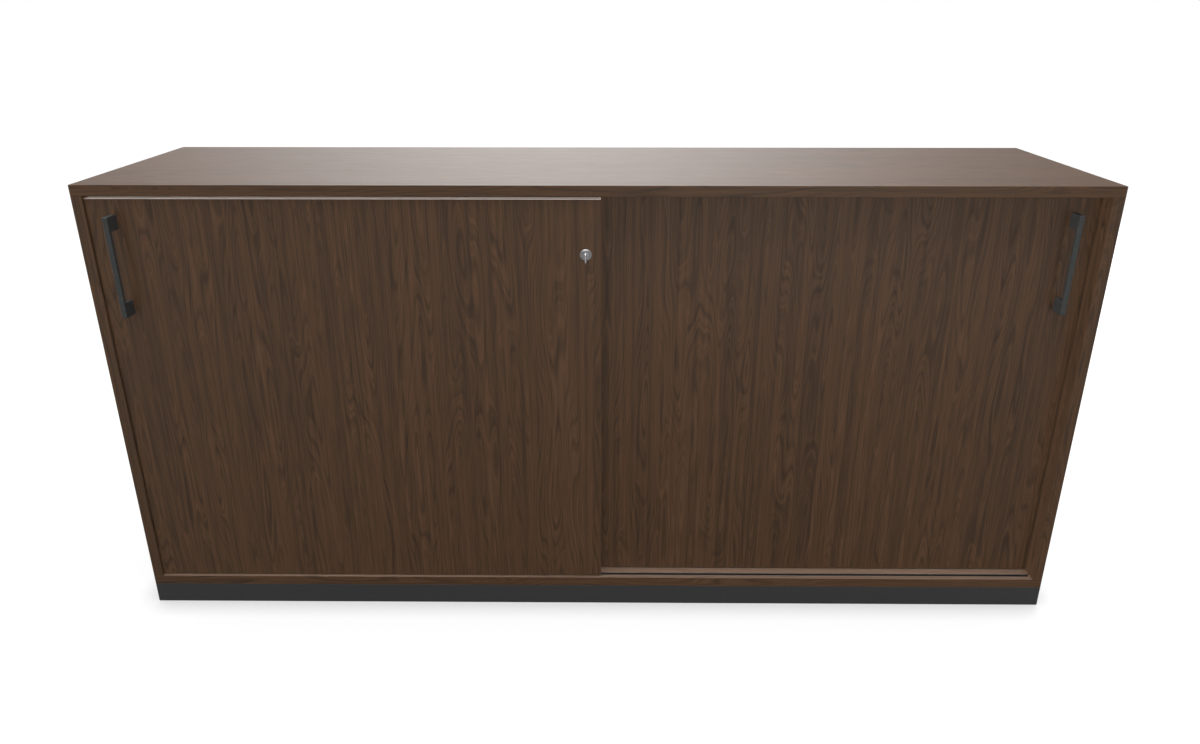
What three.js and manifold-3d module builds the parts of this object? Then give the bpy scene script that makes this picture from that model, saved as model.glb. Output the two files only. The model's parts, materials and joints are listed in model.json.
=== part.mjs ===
// Office credenza: a low walnut-look cabinet with two sliding doors that pass one behind the other.
// Millimetres, +Z up, +X to the right of someone facing the doors, which look towards -Y.
// Inside the cabinet group Y is the depth behind the front edge of the carcass.
import * as THREE from "three";
import { mergeVertices } from "three/addons/utils/BufferGeometryUtils.js";
import Module from "manifold-3d";

const wasm = await Module();
wasm.setup();

// Clearance between pieces that fit into each other, and how far a cutter passes the face that it cuts
const FIT = 0.3;
const OVERRUN = 1;

// Carcass
const WIDTH = 1800;
const DEPTH = 450;
const HEIGHT = 852;
const BOARD = 19;
const PLINTH_HEIGHT = 42;
const PLINTH_BOARD = 20;
const BACK_BOARD = 8;
const BACK_INSET = 5;
const PARTITION_FRONT = 62;

// Shelves and the pins under them
const SHELF_SIDE_GAP = 1;
const SHELF_FRONT = 80;
const SHELF_BACK_GAP = 6;
const SHELF_UNDERSIDE = 441;
const PIN_STEM_RADIUS = 2.4;
const PIN_STEM = 7.5;
const PIN_HEAD_RADIUS = 3.5;
const PIN_HEAD = 9;
const PIN_HOLE_RADIUS = 2.7;
const PIN_HOLE_DEPTH = 10;
const PIN_HOLE_PITCH = 64;
const PIN_HOLES_EACH_WAY = 2;
const PIN_ROW_INSET = 45;

// Doors and their tracks
const DOOR_BOARD = 18;
const DOOR_RECESS = 5.5;
const DOOR_PITCH = 29;
const DOOR_SIDE_GAP = 0.5;
const DOOR_OVERLAP = 18;
const DOOR_BOTTOM_GAP = 3;
const DOOR_TOP_GAP = 6;
const FITTING_INSET = 90;
const GROOVE = 8;
const BOTTOM_GROOVE_DEPTH = 8;
const TOP_GROOVE_DEPTH = 9;
const TRACK_WALL = 1;

// Rollers in the lower edge of a door
const WHEEL_RADIUS = 13;
const WHEEL_TREAD = 4.4;
const WHEEL_HUB_RADIUS = 5;
const AXLE_RADIUS = 2;
const AXLE_LENGTH = 9;
const ROLLER_POCKET = { long: 42, wide: 10, high: 33 };
const WHEEL_SLOT = { long: 30, wide: 6, high: 18 };

// Guides on the back of a door, whose tongues run in the top rails
const GUIDE_PLATE = { long: 40, high: 30 };
const GUIDE_TONGUE = { long: 24, wide: 4.4 };
const GUIDE_LINE = 3.2;
const GUIDE_REACH = 6.5;

// Bow handles
const HANDLE_INSET = 65;
const HANDLE_TOP_DROP = 32;
const HANDLE_LENGTH = 180;
const HANDLE_WIDTH = 9;
const HANDLE_BAR = 6;
const HANDLE_LEG = 26;
const HANDLE_REACH = 31;
const HANDLE_SHOULDER = 5;
const HANDLE_CORNER = 1.5;
const SCREW_SPACING = 160;
const SCREW_RADIUS = 2;
const SCREW_HOLE_RADIUS = 2.4;
const SCREW_BITE = 8;
const SCREW_HEAD_RADIUS = 4.2;
const SCREW_HEAD = 2.4;

// Lock, key and strike
const LOCK_X = -17.5;
const LOCK_Z = 730;
const LOCK_COLLAR_RADIUS = 10.7;
const LOCK_COLLAR = 3.2;
const LOCK_COLLAR_RIM = 1;
const LOCK_BARREL_RADIUS = 9;
const LOCK_BARREL_STICKOUT = 2.5;
const LOCK_NUT_RADIUS = 12;
const LOCK_NUT = 1.8;
const PLUG_RADIUS = 6.8;
const KEYWAY = { wide: 2.8, high: 9.2, deep: 19 };
const KEY = { thick: 2.2, blade: 8.4, bow: 20, bowLong: 19, corner: 6, ring: 2.6, tip: 17 };
const KEY_NECK = 6;
const DRIVE = 6;
const CAM_THICK = 2.5;
const CAM_GAP = 0.5;
const CAM_HALF_WIDTH = 8;
const CAM_REACH = 25;
const CAM_SCREW_HEAD_RADIUS = 4;
const CAM_SCREW_HEAD = 2;
const CAM_SCREW_LENGTH = 7;
const STRIKE = { left: -8.5, right: 4, thick: 7.5, top: 14, bottom: 34, corner: 2 };

// Levelling feet
const FOOT_INSET_X = 50;
const FOOT_INSET_Y = 80;
const FOOT_RADIUS = 17;
const FOOT_HIGH = 8;
const FOOT_CLEARANCE = 1;
const FOOT_STEM_RADIUS = 4;
const FOOT_STEM_TOP = 58;
const INSERT_RADIUS = 8;
const INSERT_FLANGE_RADIUS = 12;
const INSERT_FLANGE = 2;

// Sizes that follow from the ones above
const OUTER_X = WIDTH / 2;
const INNER_X = OUTER_X - BOARD;
const FLOOR_Z = PLINTH_HEIGHT + BOARD;
const CEILING_Z = HEIGHT - BOARD;
const BACK_Y = DEPTH - BACK_INSET - BACK_BOARD;
const DOOR_BOTTOM = FLOOR_Z + DOOR_BOTTOM_GAP;
const DOOR_TOP = CEILING_Z - DOOR_TOP_GAP;
const OVERHANG = HANDLE_REACH - DOOR_RECESS;
const TRACK_FLOOR = FLOOR_Z - BOTTOM_GROOVE_DEPTH + TRACK_WALL;
const WHEEL_Z = TRACK_FLOOR + FIT + WHEEL_RADIUS;
const HANDLE_TOP = CEILING_Z - HANDLE_TOP_DROP;
const HANDLE_MIDDLE = HANDLE_TOP - HANDLE_LENGTH / 2;
const ROUND = 24;
const SMALL_ROUND = 12;
const HOLE_ROUND = 8;
const HEXAGON = 6;
const ARC_STEPS = 6;

const SIDES = { left: -1, right: 1 };
const PLANES = { front: DOOR_RECESS, rear: DOOR_RECESS + DOOR_PITCH };

// Finishes
const WALNUT = { color: 0x54402f, roughness: 0.45, metalness: 0 };
const ANTHRACITE = { color: 0x3a3b3c, roughness: 0.6, metalness: 0 };
const DARK_METAL = { color: 0x3b3d3d, roughness: 0.5, metalness: 0.3 };
const NICKEL = { color: 0xa8a8a6, roughness: 0.3, metalness: 1 };
const BLACK_PLASTIC = { color: 0x26282a, roughness: 0.6, metalness: 0 };
const WHITE_PLASTIC = { color: 0xd8d6d0, roughness: 0.5, metalness: 0 };

const cabinet = new THREE.Group();
cabinet.position.y = (OVERHANG - DEPTH) / 2;

// Adds one named piece to the cabinet.
function piece(name, geometry, finish) {
  const mesh = new THREE.Mesh(geometry, new THREE.MeshStandardMaterial(finish));
  mesh.name = name;
  cabinet.add(mesh);
}

// A box between two corners.
function box(x0, x1, y0, y1, z0, z1) {
  const made = new THREE.BoxGeometry(x1 - x0, y1 - y0, z1 - z0);
  return made.translate((x0 + x1) / 2, (y0 + y1) / 2, (z0 + z1) / 2);
}

// A box of a given size standing on a point.
function standingBox(x, y, z, { long, wide, high }) {
  return box(x - long / 2, x + long / 2, y - wide / 2, y + wide / 2, z, z + high);
}

// Rods along the three axes, each between two stations.
function rodY(x, z, y0, y1, radius, sides) {
  return new THREE.CylinderGeometry(radius, radius, y1 - y0, sides).translate(x, (y0 + y1) / 2, z);
}

function rodX(y, z, x0, x1, radius, sides) {
  const made = new THREE.CylinderGeometry(radius, radius, x1 - x0, sides).rotateZ(Math.PI / 2);
  return made.translate((x0 + x1) / 2, y, z);
}

function rodZ(x, y, z0, z1, radius, sides) {
  const made = new THREE.CylinderGeometry(radius, radius, z1 - z0, sides).rotateX(Math.PI / 2);
  return made.translate(x, y, (z0 + z1) / 2);
}

// An outline drawn in the Y-Z plane and given a thickness along X, centred on x.
function platedX(outline, x, thickness) {
  const options = { depth: thickness, bevelEnabled: false, curveSegments: ARC_STEPS };
  const made = new THREE.ExtrudeGeometry(outline, options);
  const axes = new THREE.Matrix4().makeBasis(
    new THREE.Vector3(0, 1, 0),
    new THREE.Vector3(0, 0, 1),
    new THREE.Vector3(1, 0, 0),
  );
  return made.applyMatrix4(axes).translate(x - thickness / 2, 0, 0);
}

// A closed geometry as a solid that can be joined and cut, and back.
function solid(geometry) {
  const bare = new THREE.BufferGeometry();
  bare.setAttribute("position", geometry.getAttribute("position"));
  bare.setIndex(geometry.index);
  const merged = mergeVertices(bare, 1e-4);
  const mesh = new wasm.Mesh({
    numProp: 3,
    vertProperties: merged.getAttribute("position").array,
    triVerts: new Uint32Array(merged.index.array),
  });
  return new wasm.Manifold(mesh);
}

function geometryOf(made) {
  const mesh = made.getMesh();
  const geometry = new THREE.BufferGeometry();
  geometry.setAttribute("position", new THREE.BufferAttribute(mesh.vertProperties, 3));
  geometry.setIndex(new THREE.BufferAttribute(mesh.triVerts, 1));
  geometry.computeVertexNormals();
  return geometry;
}

function cut(geometry, ...tools) {
  return geometryOf(tools.reduce((body, tool) => body.subtract(solid(tool)), solid(geometry)));
}

function join(geometry, ...others) {
  return geometryOf(others.reduce((body, other) => body.add(solid(other)), solid(geometry)));
}

// The height of the shelf pins in use, and the depths of the two rows of holes that they stand in.
const PIN_Z = SHELF_UNDERSIDE - PIN_HEAD_RADIUS;
const PIN_ROWS = { front: SHELF_FRONT + PIN_ROW_INSET, back: BACK_Y - SHELF_BACK_GAP - PIN_ROW_INSET };

function pinHoles(x0, x1) {
  const holes = [];
  for (const y of Object.values(PIN_ROWS)) {
    for (let step = -PIN_HOLES_EACH_WAY; step <= PIN_HOLES_EACH_WAY; step++) {
      holes.push(rodX(y, PIN_Z + step * PIN_HOLE_PITCH, x0, x1, PIN_HOLE_RADIUS, HOLE_ROUND));
    }
  }
  return holes;
}

// The middle of the bottom track and of the top rail of a door whose front face is at y = face.
function trackLine(face) {
  return face + DOOR_BOARD / 2;
}

function railLine(face) {
  return face + DOOR_BOARD + GUIDE_LINE;
}

// Top, bottom, sides, back and partition.
function addCarcass() {
  const half = GROOVE / 2;
  const grooves = (line, z0, z1) =>
    Object.values(PLANES)
      .map(line)
      .map((y) => box(-INNER_X, INNER_X, y - half, y + half, z0, z1));

  const topGrooves = grooves(railLine, CEILING_Z - OVERRUN, CEILING_Z + TOP_GROOVE_DEPTH);
  piece("top_panel", cut(box(-OUTER_X, OUTER_X, 0, DEPTH, CEILING_Z, HEIGHT), ...topGrooves), WALNUT);

  const bottomGrooves = grooves(trackLine, FLOOR_Z - BOTTOM_GROOVE_DEPTH, FLOOR_Z + OVERRUN);
  const insertHoles = footPlaces().map(({ x, y }) =>
    rodZ(x, y, PLINTH_HEIGHT - OVERRUN, FLOOR_Z + OVERRUN, INSERT_RADIUS + FIT, ROUND),
  );
  const bottom = box(-OUTER_X, OUTER_X, 0, DEPTH, PLINTH_HEIGHT, FLOOR_Z);
  piece("bottom_panel", cut(bottom, ...bottomGrooves, ...insertHoles), WALNUT);

  for (const [side, way] of Object.entries(SIDES)) {
    const faces = [way * INNER_X, way * OUTER_X].sort((a, b) => a - b);
    const holeEnds = [way * (INNER_X - OVERRUN), way * (INNER_X + PIN_HOLE_DEPTH)].sort((a, b) => a - b);
    const panel = box(...faces, 0, DEPTH, FLOOR_Z, CEILING_Z);
    piece(`${side}_side_panel`, cut(panel, ...pinHoles(...holeEnds)), WALNUT);
  }

  piece("back_panel", box(-INNER_X, INNER_X, BACK_Y, BACK_Y + BACK_BOARD, FLOOR_Z, CEILING_Z), WALNUT);

  const partition = box(-BOARD / 2, BOARD / 2, PARTITION_FRONT, BACK_Y, FLOOR_Z, CEILING_Z);
  piece("centre_partition", cut(partition, ...pinHoles(-BOARD, BOARD)), WALNUT);
}

// One shelf in each half of the cabinet, on four pins.
function addShelves() {
  for (const [side, way] of Object.entries(SIDES)) {
    const walls = { outer: way * INNER_X, inner: (way * BOARD) / 2 };
    const ends = [walls.outer - way * SHELF_SIDE_GAP, walls.inner + way * SHELF_SIDE_GAP];
    ends.sort((a, b) => a - b);
    const back = BACK_Y - SHELF_BACK_GAP;
    const shelf = box(...ends, SHELF_FRONT, back, SHELF_UNDERSIDE, SHELF_UNDERSIDE + BOARD);
    piece(`${side}_shelf`, shelf, WALNUT);

    for (const [wall, x] of Object.entries(walls)) {
      const inward = wall === "outer" ? -way : way;
      for (const [row, y] of Object.entries(PIN_ROWS)) {
        const head = [x, x + inward * PIN_HEAD].sort((a, b) => a - b);
        const stem = [x - inward * PIN_STEM, x + inward * OVERRUN].sort((a, b) => a - b);
        const pin = join(
          rodX(y, PIN_Z, ...head, PIN_HEAD_RADIUS, SMALL_ROUND),
          rodX(y, PIN_Z, ...stem, PIN_STEM_RADIUS, HOLE_ROUND),
        );
        piece(`${side}_shelf_pin_${wall}_${row}`, pin, NICKEL);
      }
    }
  }
}

// Plinth frame: front and back rails between two side boards.
function addPlinth() {
  const railEnd = OUTER_X - PLINTH_BOARD;
  piece("plinth_front", box(-railEnd, railEnd, 0, PLINTH_BOARD, 0, PLINTH_HEIGHT), ANTHRACITE);
  piece("plinth_back", box(-railEnd, railEnd, DEPTH - PLINTH_BOARD, DEPTH, 0, PLINTH_HEIGHT), ANTHRACITE);
  piece("plinth_left", box(-OUTER_X, -railEnd, 0, DEPTH, 0, PLINTH_HEIGHT), ANTHRACITE);
  piece("plinth_right", box(railEnd, OUTER_X, 0, DEPTH, 0, PLINTH_HEIGHT), ANTHRACITE);
}

function footPlaces() {
  const rows = { front: FOOT_INSET_Y, back: DEPTH - FOOT_INSET_Y };
  const places = [];
  for (const [row, y] of Object.entries(rows)) {
    for (const [side, way] of Object.entries(SIDES)) {
      places.push({ name: `${row}_${side}`, x: way * (OUTER_X - FOOT_INSET_X), y });
    }
  }
  return places;
}

// Levelling feet inside the plinth, each on a stem in a flanged insert in the bottom panel.
function addFeet() {
  for (const { name, x, y } of footPlaces()) {
    const flangeBottom = PLINTH_HEIGHT - INSERT_FLANGE;
    const sleeve = join(
      rodZ(x, y, flangeBottom, FLOOR_Z, INSERT_RADIUS, ROUND),
      rodZ(x, y, flangeBottom, PLINTH_HEIGHT, INSERT_FLANGE_RADIUS, ROUND),
    );
    const threadRadius = FOOT_STEM_RADIUS + FIT;
    const thread = rodZ(x, y, flangeBottom - OVERRUN, FLOOR_Z + OVERRUN, threadRadius, SMALL_ROUND);
    piece(`foot_insert_${name}`, cut(sleeve, thread), NICKEL);

    const pad = FOOT_CLEARANCE + FOOT_HIGH;
    const foot = join(
      rodZ(x, y, FOOT_CLEARANCE, pad, FOOT_RADIUS, ROUND),
      rodZ(x, y, pad - OVERRUN, FOOT_STEM_TOP, FOOT_STEM_RADIUS, SMALL_ROUND),
    );
    piece(`levelling_foot_${name}`, foot, BLACK_PLASTIC);
  }
}

// U-shaped profiles in the grooves: tracks below for the wheels, rails above for the guides.
function addTracks() {
  const end = INNER_X - DOOR_SIDE_GAP;
  const past = end + OVERRUN;
  const outer = GROOVE / 2 - FIT / 2;
  const inner = outer - TRACK_WALL;
  const trackBottom = FLOOR_Z - BOTTOM_GROOVE_DEPTH;
  const railTop = CEILING_Z + TOP_GROOVE_DEPTH;
  for (const [plane, face] of Object.entries(PLANES)) {
    const below = trackLine(face);
    const track = cut(
      box(-end, end, below - outer, below + outer, trackBottom, FLOOR_Z),
      box(-past, past, below - inner, below + inner, TRACK_FLOOR, FLOOR_Z + OVERRUN),
    );
    piece(`bottom_track_${plane}`, track, BLACK_PLASTIC);
    const above = railLine(face);
    const rail = cut(
      box(-end, end, above - outer, above + outer, CEILING_Z, railTop),
      box(-past, past, above - inner, above + inner, CEILING_Z - OVERRUN, railTop - TRACK_WALL),
    );
    piece(`top_rail_${plane}`, rail, BLACK_PLASTIC);
  }
}

// The outline of a bow handle in the Y-Z plane, standing out from a door face at y = face.
function handleOutline(face) {
  const front = face - HANDLE_REACH;
  const bar = front + HANDLE_BAR;
  const bottom = HANDLE_MIDDLE - HANDLE_LENGTH / 2;
  const lowerLeg = bottom + HANDLE_LEG;
  const upperLeg = HANDLE_TOP - HANDLE_LEG;
  const shoulder = HANDLE_SHOULDER;
  const corner = HANDLE_CORNER;
  const outline = new THREE.Shape();
  outline.moveTo(front, bottom + corner);
  outline.absarc(front + corner, bottom + corner, corner, Math.PI, 1.5 * Math.PI, false);
  outline.lineTo(face, bottom);
  outline.lineTo(face, lowerLeg - shoulder);
  outline.absarc(face - shoulder, lowerLeg - shoulder, shoulder, 0, Math.PI / 2, false);
  outline.lineTo(bar, lowerLeg);
  outline.lineTo(bar, upperLeg);
  outline.lineTo(face, upperLeg);
  outline.lineTo(face, HANDLE_TOP - shoulder);
  outline.absarc(face - shoulder, HANDLE_TOP - shoulder, shoulder, 0, Math.PI / 2, false);
  outline.lineTo(front + corner, HANDLE_TOP);
  outline.absarc(front + corner, HANDLE_TOP - corner, corner, Math.PI / 2, Math.PI, false);
  return outline;
}

// A door with everything that is fixed to it, and the wheels that it stands on.
function addDoor(side, face, cutters) {
  const way = SIDES[side];
  const back = face + DOOR_BOARD;
  const closing = way * (INNER_X - DOOR_SIDE_GAP);
  const meeting = (-way * DOOR_OVERLAP) / 2;
  const [left, right] = [closing, meeting].sort((a, b) => a - b);
  const fittings = { outer: closing - way * FITTING_INSET, inner: meeting + way * FITTING_INSET };
  const handleX = way * (OUTER_X - HANDLE_INSET);
  const screws = { lower: HANDLE_MIDDLE - SCREW_SPACING / 2, upper: HANDLE_MIDDLE + SCREW_SPACING / 2 };

  const pockets = Object.values(fittings).map((x) =>
    standingBox(x, trackLine(face), DOOR_BOTTOM - OVERRUN, {
      ...ROLLER_POCKET,
      high: ROLLER_POCKET.high + OVERRUN,
    }),
  );
  const screwHoles = Object.values(screws).map((z) =>
    rodY(handleX, z, face - SCREW_BITE - OVERRUN, back + OVERRUN, SCREW_HOLE_RADIUS, SMALL_ROUND),
  );
  const slab = box(left, right, face, back, DOOR_BOTTOM, DOOR_TOP);
  piece(`${side}_door`, cut(slab, ...pockets, ...screwHoles, ...cutters), WALNUT);

  const bow = platedX(handleOutline(face), handleX, HANDLE_WIDTH);
  piece(`${side}_handle`, cut(bow, ...screwHoles), DARK_METAL);
  for (const [place, z] of Object.entries(screws)) {
    const screw = join(
      rodY(handleX, z, face - SCREW_BITE, back + OVERRUN, SCREW_RADIUS, SMALL_ROUND),
      rodY(handleX, z, back, back + SCREW_HEAD, SCREW_HEAD_RADIUS, SMALL_ROUND),
    );
    piece(`${side}_handle_screw_${place}`, screw, NICKEL);
  }

  for (const [place, x] of Object.entries(fittings)) {
    addRoller(`${side}_door`, place, x, trackLine(face));
    addGuide(`${side}_door`, place, x, back);
  }
}

// A roller housing let into the lower edge of a door, and its wheel with axle stubs.
function addRoller(door, place, x, y) {
  const shell = standingBox(x, y, DOOR_BOTTOM, {
    long: ROLLER_POCKET.long - 2 * FIT,
    wide: ROLLER_POCKET.wide - 2 * FIT,
    high: ROLLER_POCKET.high,
  });
  const slot = standingBox(x, y, DOOR_BOTTOM - OVERRUN, { ...WHEEL_SLOT, high: WHEEL_SLOT.high + OVERRUN });
  const bearing = rodY(x, WHEEL_Z, y - AXLE_LENGTH, y + AXLE_LENGTH, AXLE_RADIUS + FIT, SMALL_ROUND);
  piece(`${door}_roller_housing_${place}`, cut(shell, slot, bearing), BLACK_PLASTIC);

  const hub = WHEEL_SLOT.wide / 2 - FIT;
  const wheel = join(
    rodY(x, WHEEL_Z, y - WHEEL_TREAD / 2, y + WHEEL_TREAD / 2, WHEEL_RADIUS, ROUND),
    rodY(x, WHEEL_Z, y - hub, y + hub, WHEEL_HUB_RADIUS, SMALL_ROUND),
    rodY(x, WHEEL_Z, y - AXLE_LENGTH / 2, y + AXLE_LENGTH / 2, AXLE_RADIUS, SMALL_ROUND),
  );
  piece(`${door}_wheel_${place}`, wheel, WHITE_PLASTIC);
}

// A guide on the back of a door: a plate against the door, with a tongue that runs in the top rail.
function addGuide(door, place, x, back) {
  const rear = back + GUIDE_LINE + GUIDE_TONGUE.wide / 2;
  const half = GUIDE_PLATE.long / 2;
  const plate = box(x - half, x + half, back, rear, DOOR_TOP - GUIDE_PLATE.high, DOOR_TOP);
  const tongue = standingBox(x, back + GUIDE_LINE, DOOR_TOP - OVERRUN, {
    ...GUIDE_TONGUE,
    high: CEILING_Z + GUIDE_REACH - DOOR_TOP + OVERRUN,
  });
  piece(`${door}_top_guide_${place}`, join(plate, tongue), BLACK_PLASTIC);
}

// The lock in the left door: housing with its nut, turning plug, cam with its screw, and the key.
function addLock(face) {
  const back = face + DOOR_BOARD;
  const front = face - LOCK_COLLAR;
  const barrelEnd = back + LOCK_BARREL_STICKOUT;
  const camFront = barrelEnd + CAM_GAP;
  const camBack = camFront + CAM_THICK;

  const mouth = PLUG_RADIUS + FIT + LOCK_COLLAR_RIM;
  const collar = new THREE.CylinderGeometry(LOCK_COLLAR_RADIUS, mouth, LOCK_COLLAR, ROUND);
  collar.translate(LOCK_X, front + LOCK_COLLAR / 2, LOCK_Z);
  const barrel = rodY(LOCK_X, LOCK_Z, face - OVERRUN, barrelEnd, LOCK_BARREL_RADIUS, ROUND);
  const bore = rodY(LOCK_X, LOCK_Z, front - OVERRUN, barrelEnd + OVERRUN, PLUG_RADIUS + FIT, ROUND);
  piece("lock_housing", cut(join(collar, barrel), bore), NICKEL);
  const nut = rodY(LOCK_X, LOCK_Z, back, back + LOCK_NUT, LOCK_NUT_RADIUS, HEXAGON);
  const nutThread = rodY(LOCK_X, LOCK_Z, back - OVERRUN, barrelEnd, LOCK_BARREL_RADIUS + FIT, ROUND);
  piece("lock_nut", cut(nut, nutThread), NICKEL);

  const halfDrive = DRIVE / 2;
  const driveEnd = camBack - FIT;
  const plugBody = join(
    rodY(LOCK_X, LOCK_Z, front + FIT, barrelEnd, PLUG_RADIUS, ROUND),
    standingBox(LOCK_X, (back + driveEnd) / 2, LOCK_Z - halfDrive, {
      long: DRIVE,
      wide: driveEnd - back,
      high: DRIVE,
    }),
  );
  const keyway = box(
    LOCK_X - KEYWAY.wide / 2,
    LOCK_X + KEYWAY.wide / 2,
    front - OVERRUN,
    front + KEYWAY.deep,
    LOCK_Z - KEYWAY.high / 2,
    LOCK_Z + KEYWAY.high / 2,
  );
  const screwHole = rodY(
    LOCK_X,
    LOCK_Z,
    camBack - CAM_SCREW_LENGTH - FIT,
    camBack + OVERRUN,
    SCREW_RADIUS + FIT,
    SMALL_ROUND,
  );
  piece("lock_plug", cut(plugBody, keyway, screwHole), NICKEL);

  const halfHole = halfDrive + FIT;
  const cam = join(
    rodY(LOCK_X, LOCK_Z, camFront, camBack, CAM_HALF_WIDTH, ROUND),
    box(LOCK_X - CAM_REACH, LOCK_X, camFront, camBack, LOCK_Z - CAM_HALF_WIDTH, LOCK_Z + CAM_HALF_WIDTH),
  );
  const driveHole = box(
    LOCK_X - halfHole,
    LOCK_X + halfHole,
    camFront - OVERRUN,
    camBack + OVERRUN,
    LOCK_Z - halfHole,
    LOCK_Z + halfHole,
  );
  piece("lock_cam", cut(cam, driveHole), NICKEL);
  const camScrew = join(
    rodY(LOCK_X, LOCK_Z, camBack, camBack + CAM_SCREW_HEAD, CAM_SCREW_HEAD_RADIUS, SMALL_ROUND),
    rodY(LOCK_X, LOCK_Z, camBack - CAM_SCREW_LENGTH, camBack + OVERRUN, SCREW_RADIUS, SMALL_ROUND),
  );
  piece("cam_screw", camScrew, NICKEL);
  addKey(front, face - HANDLE_REACH);
}

// A flat key standing upright: its bow in front of the lock, its blade in the keyway.
function addKey(lockFront, bowFront) {
  const { bow, bowLong, corner, thick, blade, ring, tip } = KEY;
  const bowBack = bowFront + bowLong;
  const low = LOCK_Z - bow / 2;
  const high = LOCK_Z + bow / 2;
  const outline = new THREE.Shape();
  outline.moveTo(bowFront, low + corner);
  outline.absarc(bowFront + corner, low + corner, corner, Math.PI, 1.5 * Math.PI, false);
  outline.lineTo(bowBack, low);
  outline.lineTo(bowBack + KEY_NECK, LOCK_Z - blade / 2);
  outline.lineTo(lockFront + tip - blade / 2, LOCK_Z - blade / 2);
  outline.lineTo(lockFront + tip, LOCK_Z);
  outline.lineTo(lockFront + tip - blade / 2, LOCK_Z + blade / 2);
  outline.lineTo(bowBack + KEY_NECK, LOCK_Z + blade / 2);
  outline.lineTo(bowBack, high);
  outline.absarc(bowFront + corner, high - corner, corner, Math.PI / 2, Math.PI, false);
  const ringHole = new THREE.Path();
  ringHole.absarc(bowFront + corner, LOCK_Z, ring, 0, 2 * Math.PI, true);
  outline.holes.push(ringHole);
  piece("key", platedX(outline, LOCK_X, thick), NICKEL);
}

// A block on the front of the rear door, which the lowered cam stands beside when the lock is shut.
function addStrike(face) {
  const { left, right, thick, top, bottom, corner } = STRIKE;
  const outline = new THREE.Shape();
  outline.moveTo(face, LOCK_Z - bottom);
  outline.lineTo(face, LOCK_Z - top);
  outline.lineTo(face - thick + corner, LOCK_Z - top);
  outline.lineTo(face - thick, LOCK_Z - top - corner);
  outline.lineTo(face - thick, LOCK_Z - bottom + corner);
  outline.lineTo(face - thick + corner, LOCK_Z - bottom);
  outline.closePath();
  piece("strike", platedX(outline, (left + right) / 2, right - left), NICKEL);
}

addCarcass();
addShelves();
addPlinth();
addFeet();
addTracks();
const lockHole = rodY(
  LOCK_X,
  LOCK_Z,
  PLANES.front - OVERRUN,
  PLANES.front + DOOR_BOARD + OVERRUN,
  LOCK_BARREL_RADIUS + FIT,
  ROUND,
);
addDoor("left", PLANES.front, [lockHole]);
addDoor("right", PLANES.rear, []);
addLock(PLANES.front);
addStrike(PLANES.rear);

const credenza = new THREE.Group();
credenza.add(cabinet);
export default credenza;
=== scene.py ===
"""Looks of an office credenza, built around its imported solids.

A low walnut-look cabinet on a dark plinth, with two sliding doors that pass one behind the other,
bow handles and a cylinder lock with its key. Metres, +Z up, +X to the right of someone who faces
the doors, which look towards -Y. The classes hold their sizes in millimetres.
"""

import json
import logging
import math
from collections.abc import Iterable, Sequence
from dataclasses import dataclass, field
from enum import Enum
from typing import Any

import bmesh
import bpy
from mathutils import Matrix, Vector


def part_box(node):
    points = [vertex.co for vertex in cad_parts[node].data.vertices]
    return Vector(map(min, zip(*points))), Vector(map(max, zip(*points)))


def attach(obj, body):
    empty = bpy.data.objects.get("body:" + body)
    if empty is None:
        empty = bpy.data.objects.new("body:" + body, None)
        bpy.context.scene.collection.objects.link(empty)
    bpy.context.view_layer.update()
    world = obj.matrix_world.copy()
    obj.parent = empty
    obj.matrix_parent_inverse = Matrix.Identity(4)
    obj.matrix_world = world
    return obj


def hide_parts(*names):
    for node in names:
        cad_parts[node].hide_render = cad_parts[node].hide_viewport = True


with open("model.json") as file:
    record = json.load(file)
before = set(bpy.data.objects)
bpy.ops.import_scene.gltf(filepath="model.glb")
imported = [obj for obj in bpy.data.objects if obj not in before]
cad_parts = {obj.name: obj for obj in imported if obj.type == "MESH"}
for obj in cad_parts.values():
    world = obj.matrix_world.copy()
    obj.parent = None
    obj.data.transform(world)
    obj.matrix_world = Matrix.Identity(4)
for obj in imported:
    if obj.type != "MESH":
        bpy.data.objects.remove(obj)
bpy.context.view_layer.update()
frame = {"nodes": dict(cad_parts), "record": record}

LOG = logging.getLogger("credenza")
MM = 0.001
WHITE = "#FFFFFF"

# How finely round shapes and rounded edges are drawn, and the angle from which an edge stays sharp.
TURN_STEPS = 48
HOLE_STEPS = 24
EDGE_STEPS = 3
ARC_STEPS = 8
SHARP_ANGLE = math.radians(38)

# An edge or a face's normal counts as lying along an axis from this share of its length upwards.
SQUARE = 0.999

# How far a cutting shape passes the face that it opens.
OVERRUN = 1.0 * MM

# The part of a noise's range that nearly all of its values lie in.
NOISE_SPAN = (0.3, 0.7)

# Sockets of Blender's colour mix node, which carries several inputs of one name.
MIX_A = 6
MIX_B = 7
MIX_RESULT = 2

Pair = tuple[float, float]
Triple = tuple[float, float, float]
Profile = tuple[Pair, ...]
Material = bpy.types.Material
Shape = bmesh.types.BMesh


class Axis(Enum):
    """The frame's directions, each with its place among a point's coordinates."""

    X = 0
    Y = 1
    Z = 2


class Side(Enum):
    """The two halves of the cabinet, each with its sign along X."""

    LEFT = -1
    RIGHT = 1

    @property
    def word(self) -> str:
        """The side's name as the nodes spell it."""
        return self.name.lower()


class Place(Enum):
    """Where a fitting stands in its half: next to the end panel or next to the middle."""

    OUTER = "outer"
    INNER = "inner"


class Row(Enum):
    """The two rows of fittings from the front to the back."""

    FRONT = "front"
    BACK = "back"


class Plane(Enum):
    """The two planes that the doors slide in."""

    FRONT = "front"
    REAR = "rear"


class Height(Enum):
    """The two screws of a handle."""

    LOWER = "lower"
    UPPER = "upper"


class Mouth(Enum):
    """Where a groove or track is open, with the sign along Z."""

    ABOVE = 1
    BELOW = -1


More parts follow.
